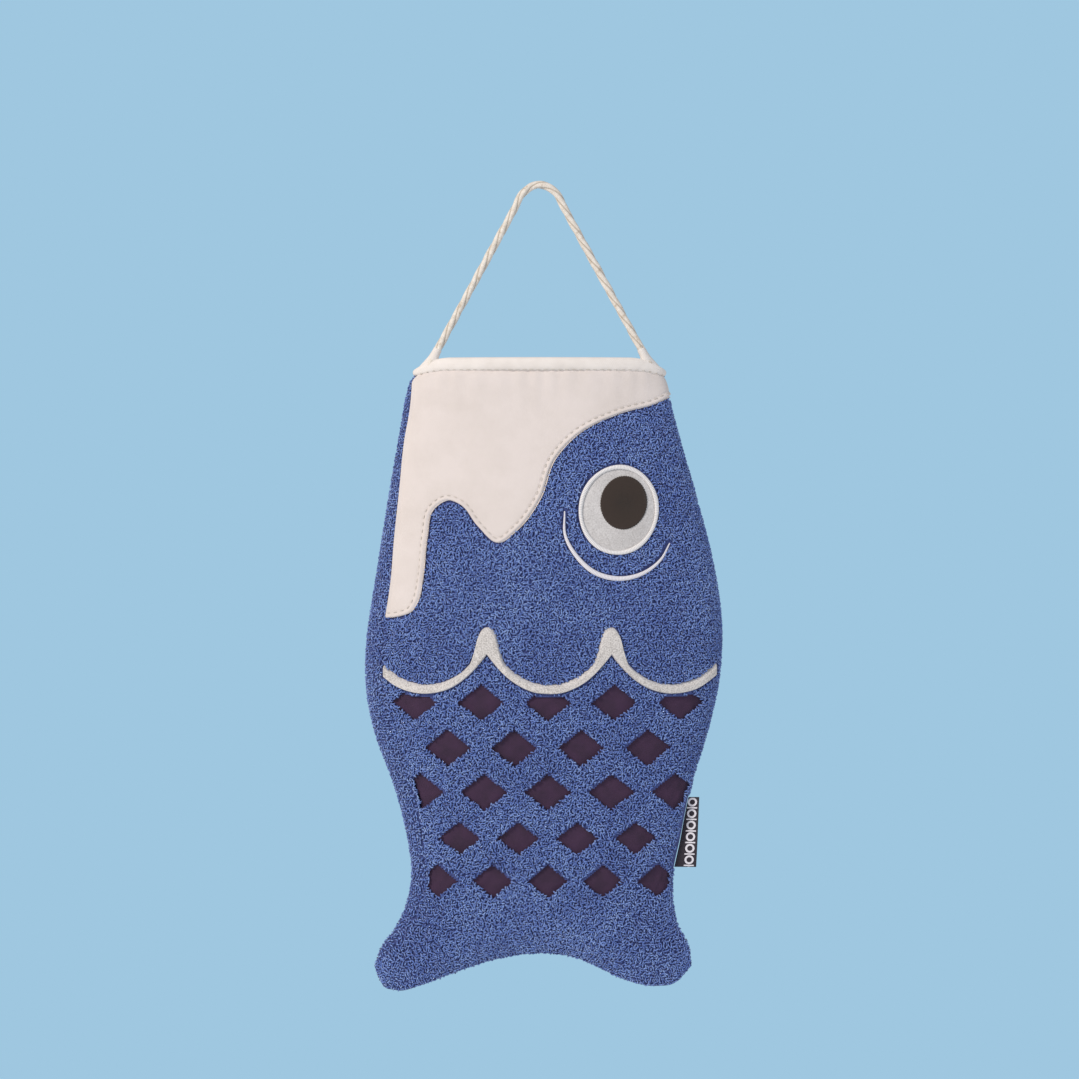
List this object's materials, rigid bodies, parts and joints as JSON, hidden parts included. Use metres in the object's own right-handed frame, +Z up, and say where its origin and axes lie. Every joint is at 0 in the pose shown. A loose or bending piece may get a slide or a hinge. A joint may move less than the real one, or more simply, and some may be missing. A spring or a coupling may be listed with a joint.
{
  "type": "carp streamer",
  "caption": "Sewn terry carp with a smooth white head panel, round eye, scalloped gill band and diamond scales, hung head up by a twisted cotton cord loop from its mouth hem.",
  "frame": {"origin": "centre of the peg that the cord loop hangs on, in the plane of the loop", "axes": "+Z up along the hanging fish, +X to the right seen from the face, the face looks along -Y"},
  "size_m": [0.1568, 0.0403, 0.3556],
  "materials": {
    "terry": "terry towelling",
    "white_cotton": "plain",
    "dark_cloth": "plain",
    "scale_cloth": "plain",
    "thread": "satin",
    "hoop_wire": "drawn",
    "cord_cotton": "twisted",
    "label_weave": "woven"
  },
  "bodies": {
    "hanging_loop": {"hanging_cord": "cord_cotton"},
    "streamer": {"front_panel": "terry", "back_panel": "terry", "scale_cloth": "scale_cloth", "head_panel": "white_cotton", "mouth_hem": "white_cotton", "mouth_hoop": "hoop_wire", "eye_white": "white_cotton", "eye_pupil": "dark_cloth", "smile_line": "thread", "gill_band": "white_cotton", "cord_end_left": "cord_cotton", "cord_end_right": "cord_cotton", "hem_thread": "thread", "head_thread": "thread"},
    "label": {"side_label": "label_weave"}
  },
  "joints": [
    {"name": "streamer_swing", "type": "hinge", "parent": "hanging_loop", "child": "streamer", "pos_m": [0, 0, -0.0615], "axis": [1, 0, 0], "range_deg": [-90, 90]},
    {"name": "side_label_flex", "type": "hinge", "parent": "streamer", "child": "label", "pos_m": [0.06327, 0.00483, -0.2753], "axis": [0.1973, 0, 0.9803], "range_deg": [-60, 60], "stiffness_Nm_per_rad": 0.0002}
  ]
}
